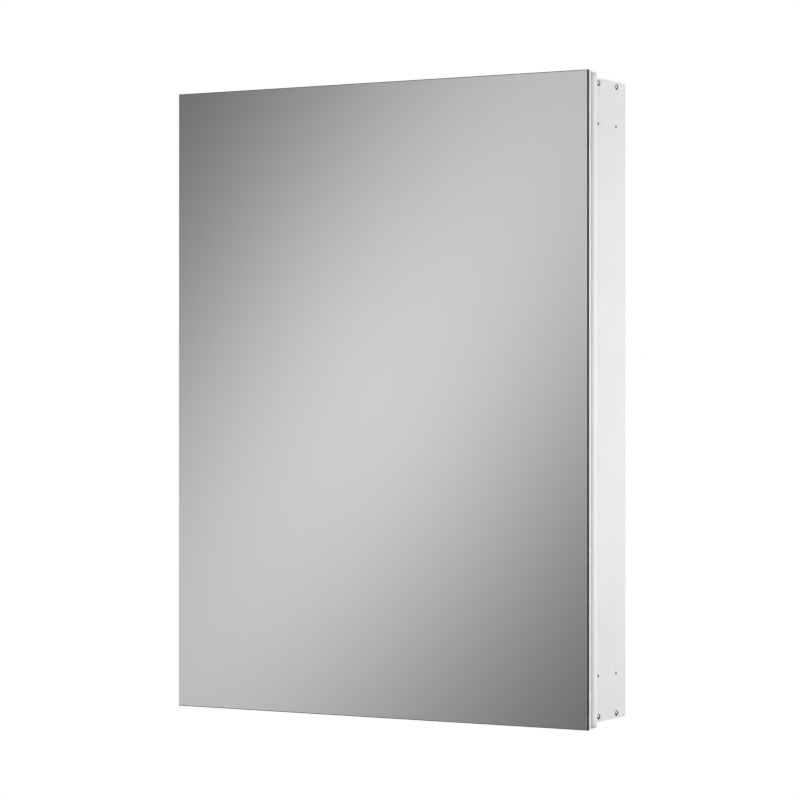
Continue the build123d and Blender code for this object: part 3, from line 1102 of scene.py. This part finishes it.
@dataclass
class Catches:
    """The magnetic catches, their strikes, the bumpers and the screws."""

    head_radius: float = SMALL_HEAD_RADIUS
    names: tuple[str, ...] = ("upper", "lower")
    catch_screw_spread: float = 0.022
    strike_screw_spread: float = 0.014

    def dress_parts(self) -> None:
        """Give the housings, magnets, poles, strikes and bumpers their finishes."""
        plastic = Moulded("catch_white_plastic", light=(0.83, 0.83, 0.82), dark=(0.79, 0.79, 0.785),
                          roughness=0.45).material()
        ferrite = Moulded("ferrite", light=(0.05, 0.05, 0.055), dark=(0.09, 0.088, 0.09),
                          roughness=0.7, grain_height=0.00006).material()
        plated = DrawnMetal("plated_steel", light=(0.70, 0.70, 0.70), dark=(0.54, 0.54, 0.55),
                            roughness=0.26).material()
        rubber = Moulded("bumper_soft", light=(0.78, 0.79, 0.79), dark=(0.70, 0.71, 0.71),
                         roughness=0.35, translucence=0.35).material()
        for name in self.names:
            dress(plastic, f"catch_body_{name}")
            dress(ferrite, f"catch_magnet_{name}")
            dress(plated, f"catch_poles_{name}", f"strike_plate_{name}")
        dress(rubber, "door_bumpers")

    def build_screws(self, screw: bpy.types.Object, material: Material) -> None:
        """Put the countersunk screws in the catches and strikes.

        Args:
            screw: the countersunk pattern.
            material: their finish.
        """
        for node, turn, body, spread in (
                ("catch_screws", INTO_WALL, Body.CABINET, self.catch_screw_spread),
                ("strike_screws", OUT_OF_WALL, Body.DOOR, self.strike_screw_spread)):
            low, high = box_of(node)
            face = low.y if turn is INTO_WALL else high.y
            level = high.z - self.head_radius - spread
            places = [aim((low.x + high.x) / 2, face, sign * level + side * spread, turn)
                      for sign in (-1, 1)
                      for side in (-1, 1)]
            set_of_screws(node, screw, places, body, material)


@dataclass
class Door:
    """The mirror, the layers behind it and the crowned frame."""

    face_tolerance: float = 0.0001

    def dress_layers(self) -> None:
        """Silver the glass and coat the white layers."""
        low, high = box_of("mirror_glass")
        face = [vertex.co.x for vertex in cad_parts["mirror_glass"].data.vertices
                if vertex.co.y < low.y + self.face_tolerance]
        glass = SilveredGlass("silvered_glass", front=low.y, back=high.y,
                              arris_depth=high.x - max(face))
        dress(glass.material(), "mirror_glass")
        dress(PowderCoat("white_backing_panel", light=(0.90, 0.90, 0.90),
                         shade=(0.875, 0.875, 0.875), roughness=0.42,
                         peel_scale=700.0).material(), "door_backing")
        rim_low, rim_high = box_of("door_stile_latch")
        rim_top = box_of("door_rail_top")[1].z
        frame_coat = FrameCoat("white_frame_coat", half_width=rim_high.x, half_height=rim_top,
                               front=rim_low.y, back=rim_high.y).material()
        dress(frame_coat, "door_stile_hinge", "door_stile_latch", "door_rail_top",
              "door_rail_bottom")
        dress(PowderCoat("white_inner_panel", light=(0.865, 0.865, 0.865),
                         shade=(0.84, 0.84, 0.845), roughness=0.40,
                         peel_scale=700.0).material(), "door_inner_panel")
        dress(DrawnMetal("key_aluminium", light=(0.76, 0.76, 0.77), dark=(0.62, 0.62, 0.63),
                         roughness=0.4).material(), "door_corner_keys")


# Studio


@dataclass(frozen=True)
class SoftLamp:
    """A square soft lamp that glossy surfaces don't show."""

    name: str
    place: Point
    target: Point
    size: float
    watts: float
    beam: float = 180.0

    def hang(self) -> None:
        """Hang the lamp at its place, pointing at its target."""
        data = bpy.data.lights.new(self.name, "AREA")
        data.shape = "SQUARE"
        data.size = self.size
        data.energy = self.watts
        data.spread = math.radians(self.beam)
        lamp = bpy.data.objects.new(self.name, data)
        lamp.location = self.place
        direction = Vector(self.target) - Vector(self.place)
        lamp.rotation_euler = direction.to_track_quat("-Z", "Y").to_euler()
        lamp.visible_camera = False
        lamp.visible_glossy = False
        bpy.context.scene.collection.objects.link(lamp)


@dataclass(frozen=True)
class GreyStudio:
    """What reflections show: a lit grey card, soft grey round it, white behind and a strip.

    The card stands where the photograph's camera sees it in the mirror. A diagonal light lies
    across it, which falls off by a power of the distance across it and along it.
    """

    camera_right: float
    camera_back: float
    diagonal_slope: float = 1.13
    diagonal_middle: float = 0.015
    across_power: float = 1.94
    across_rate: float = 0.456
    along_power: float = 1.48
    along_rate: float = 0.231
    card_glow: float = 0.5465
    card_grey: float = 0.093
    card_fade: Range = (1.2, 3.0)
    least_forward: float = 0.05
    grey_by_height: Range = (0.30, 0.62)
    grey_heights: Range = (-0.6, 0.8)
    grey_to_right: float = 0.30
    grey_sides: Range = (-0.2, 0.9)
    white_behind: Range = (-0.05, 0.4)
    strip_turn: float = 5.0
    strip_half_width: float = 16.0
    strip_glow: float = 7.0
    strip_softness: float = 0.05
    strip_end: Range = (0.68, 0.80)

    def brightness(self, graph: Graph) -> Socket:
        """How bright the studio is in each direction.

        Args:
            graph: the world's graph.

        Returns:
            The brightness.
        """
        coordinates = graph.add("ShaderNodeTexCoord")
        split = graph.add("ShaderNodeSeparateXYZ")
        graph.feed(split.inputs[0], coordinates.outputs["Generated"])
        right, inwards, up = split.outputs
        high = box_of("mirror_glass")[1]
        outwards = graph.math("MULTIPLY", inwards, -1.0)
        forward = graph.math("MAXIMUM", outwards, self.least_forward)
        sideways = graph.math("SUBTRACT", graph.math("DIVIDE", right, forward),
                              -self.camera_right / self.camera_back)
        across = graph.math("DIVIDE", sideways, high.x / self.camera_back)
        above = graph.math("DIVIDE", graph.math("DIVIDE", up, forward),
                           high.z / self.camera_back)
        card = self.card(graph, across, above)
        around = self.around(graph, right, inwards, up)
        outside = graph.math("MAXIMUM", graph.math("ABSOLUTE", across),
                             graph.math("ABSOLUTE", above))
        fade = graph.spread(outside, 0.0, 1.0, *self.card_fade)
        rest = graph.math("MULTIPLY", graph.math("SUBTRACT", around, card), fade)
        plain = graph.math("ADD", card, rest)
        return graph.math("ADD", plain, self.strip(graph, right, outwards, up))

    def card(self, graph: Graph, across: object, above: object) -> Socket:
        """The card's brightness.

        Args:
            graph: the world's graph.
            across: the place on the card, -1 to 1 from left to right.
            above: the place on the card, -1 to 1 from bottom to top.

        Returns:
            The brightness.
        """
        off_diagonal = graph.math(
            "SUBTRACT", graph.math("MULTIPLY", above, self.diagonal_slope), across)
        middle = graph.math("MULTIPLY", graph.math("ADD", above, across), 0.5)
        along_diagonal = graph.math("SUBTRACT", middle, self.diagonal_middle)
        falls = []
        for distance, power, rate in ((off_diagonal, self.across_power, self.across_rate),
                                      (along_diagonal, self.along_power, self.along_rate)):
            rise = graph.math("POWER", graph.math("ABSOLUTE", distance), power)
            falls.append(graph.math("MULTIPLY", rise, rate))
        fall = graph.math("MULTIPLY", graph.math("ADD", *falls), -1.0)
        glow = graph.math("MULTIPLY", graph.math("EXPONENT", fall), self.card_glow)
        return graph.math("ADD", glow, self.card_grey)

    def around(self, graph: Graph, right: object, inwards: object,
               up: object) -> Socket:
        """The grey round the card, lighter upwards and to the right, and white behind.

        Args:
            graph: the world's graph.
            right: the direction's part along X.
            inwards: its part along Y.
            up: its part along Z.

        Returns:
            The brightness.
        """
        even = graph.spread(up, *self.grey_by_height, *self.grey_heights)
        sideways = graph.spread(right, 0.0, self.grey_to_right, *self.grey_sides)
        plain = graph.math("ADD", even, sideways)
        behind = graph.spread(inwards, 0.0, 1.0, *self.white_behind)
        past = graph.math("MULTIPLY", graph.math("SUBTRACT", 1.0, plain), behind)
        return graph.math("ADD", plain, past)

    def strip(self, graph: Graph, right: object, outwards: object,
              up: object) -> Socket:
        """A tall narrow light to the right of the cabinet, which any glossy surface can show.

        Args:
            graph: the world's graph.
            right: the direction's part along X.
            outwards: its part away from the wall.
            up: its part along Z.

        Returns:
            The strip's brightness.
        """
        turn = graph.math("SUBTRACT", graph.math("ARCTAN2", outwards, right),
                          math.radians(self.strip_turn))
        half = math.radians(self.strip_half_width)
        width = graph.spread(graph.math("ABSOLUTE", turn), 1.0, 0.0,
                             half - self.strip_softness, half + self.strip_softness)
        height = graph.spread(graph.math("ABSOLUTE", up), 1.0, 0.0, *self.strip_end)
        return graph.math("MULTIPLY", graph.math("MULTIPLY", width, height), self.strip_glow)


@dataclass
class Studio:
    """Camera, lamps, floor and the surroundings of the cabinet."""

    lens: float = 134.8
    sensor: float = 36.0
    far_clip: float = 50.0
    camera_right: float = 1.5751
    camera_back: float = 2.6834
    camera_turn: float = 29.935
    key_target: Point = (0.24, -0.04, 0.0)
    key_turn: float = 52.0
    key_distance: float = 1.5
    ambient: Colour = (0.365, 0.365, 0.365)
    floor_drop: float = 1.25
    floor_size: float = 8.0
    floor_light: Colour = (0.80, 0.80, 0.80)
    floor_shade: Colour = (0.82, 0.82, 0.82)
    floor_glow: Range = (0.75, 1.0)
    floor_glow_start: float = 0.4
    floor_glow_end: float = 0.45

    def add_camera(self) -> None:
        """Stand the camera level with the middle of the cabinet, to its front right."""
        data = bpy.data.cameras.new("photo_camera")
        data.lens = self.lens
        data.sensor_width = self.sensor
        data.clip_end = self.far_clip
        camera = bpy.data.objects.new("photo_camera", data)
        front = box_of("mirror_glass")[0].y
        camera.location = (self.camera_right, front - self.camera_back, 0.0)
        camera.rotation_euler = (math.radians(90), 0.0, math.radians(self.camera_turn))
        bpy.context.scene.collection.objects.link(camera)
        bpy.context.scene.camera = camera

    def add_lamps(self) -> None:
        """Light the cabinet softly, with a key lamp to the right and behind."""
        turn = math.radians(self.key_turn)
        towards = Vector((math.cos(turn), math.sin(turn), 0.0))
        key = Vector(self.key_target) + self.key_distance * towards
        middle = (0.0, 0.0, 0.0)
        SoftLamp("side_key", tuple(key), self.key_target, size=0.6, watts=3.6, beam=75.0).hang()
        SoftLamp("front_fill", (-0.9, -2.4, 0.9), middle, size=1.6, watts=30.0).hang()
        SoftLamp("top_fill", (0.0, -0.2, 2.2), middle, size=1.6, watts=18.0).hang()

    def add_floor(self) -> None:
        """Lay a plain pale floor well below the cabinet, which hangs on a wall."""
        bpy.ops.object.select_all(action="DESELECT")
        bpy.ops.mesh.primitive_plane_add(size=self.floor_size, location=(0, 0, -self.floor_drop))
        floor = bpy.context.object
        floor.name = "studio_floor"
        material, graph = new_material("pale_floor")
        paper = graph.add("ShaderNodeBsdfDiffuse")
        mottle = graph.noise(graph.place(), 3.0, 3.0)
        graph.feed(paper.inputs["Color"], graph.blend(mottle, self.floor_light, self.floor_shade))
        glow = graph.add("ShaderNodeEmission")
        mix = graph.add("ShaderNodeMixShader")
        distance = graph.add("ShaderNodeVectorMath", operation="LENGTH")
        graph.feed(distance.inputs[0], graph.place((1.0, 1.0, 0.0)))
        fade = graph.spread(distance.outputs["Value"], *self.floor_glow, self.floor_glow_start,
                            self.floor_glow_end * self.floor_size)
        graph.feed(mix.inputs[0], graph.math("MULTIPLY", self.seen_directly(graph), fade))
        graph.feed(mix.inputs[1], paper.outputs[0])
        graph.feed(mix.inputs[2], glow.outputs[0])
        output = graph.add("ShaderNodeOutputMaterial")
        graph.feed(output.inputs["Surface"], mix.outputs[0])
        floor.data.materials.append(material)

    def add_surroundings(self) -> None:
        """Surround the cabinet with white for the camera and with a grey studio for reflections."""
        world = bpy.data.worlds.new("studio")
        world.use_nodes = True
        graph = Graph(world.node_tree)
        bpy.context.scene.world = world
        shiny = graph.add("ShaderNodeLightPath").outputs["Is Glossy Ray"]
        studio = GreyStudio(self.camera_right, self.camera_back).brightness(graph)
        light = graph.blend(shiny, self.ambient, studio)
        colour = graph.blend(self.seen_directly(graph), light, (1.0, 1.0, 1.0))
        background = graph.add("ShaderNodeBackground")
        graph.feed(background.inputs["Color"], colour)
        output = graph.add("ShaderNodeOutputWorld")
        graph.feed(output.inputs["Surface"], background.outputs[0])

    def seen_directly(self, graph: Graph) -> Socket:
        """Tell what the camera sees, also through glass, from what only lights or reflects.

        Args:
            graph: the graph of a material or of the world.

        Returns:
            1 for camera and transmission rays, and 0 for others.
        """
        rays = graph.add("ShaderNodeLightPath")
        return graph.math("MAXIMUM", rays.outputs["Is Camera Ray"],
                          rays.outputs["Is Transmission Ray"])


def main() -> None:
    """Build the studio, dress each sub-assembly in order and add its screws."""
    logging.basicConfig(level=logging.INFO, format="%(name)s: %(message)s")
    bpy.context.scene.view_settings.view_transform = "Standard"
    deselect_everything()
    studio = Studio()
    studio.add_camera()
    studio.add_lamps()
    studio.add_floor()
    studio.add_surroundings()

    # Painted shade: this nickel is far darker than real bright nickel, standing in for the dark
    # reflections in the screws' domes.
    bright = DrawnMetal("nickel_with_painted_shade", light=(0.17, 0.17, 0.172), dark=(0.12, 0.12, 0.122),
                        roughness=0.10, grain=(1.0, 1.0, 1.0), grain_scale=400.0).material()
    zinc = DrawnMetal("zinc_screw", light=(0.74, 0.74, 0.74), dark=(0.58, 0.58, 0.59),
                      roughness=0.27, grain=(1.0, 1.0, 1.0), grain_scale=500.0).material()
    countersunk = Screw(HeadStyle.COUNTERSUNK, head_radius=SMALL_HEAD_RADIUS / MILLIMETRE,
                        head_height=1.0, shank_radius=1.2, length=6.0, recess_radius=1.15,
                        recess_width=0.45, recess_depth=0.7, pitch=0.8).build("countersunk_pattern")

    case = Case()
    case.dress_panels()
    case.build_corner_screws(bright)
    case.build_back_screws(countersunk, zinc)

    shelves = ShelfSet()
    shelves.dress_shelves()
    shelves.build_clip_screws(zinc)

    hinge = ContinuousHinge()
    hinge.dress_leaves()
    hinge.build_screws(countersunk, zinc)

    catches = Catches()
    catches.dress_parts()
    catches.build_screws(countersunk, zinc)

    Door().dress_layers()
    bpy.data.objects.remove(countersunk, do_unlink=True)


if __name__ == "__main__":
    main()
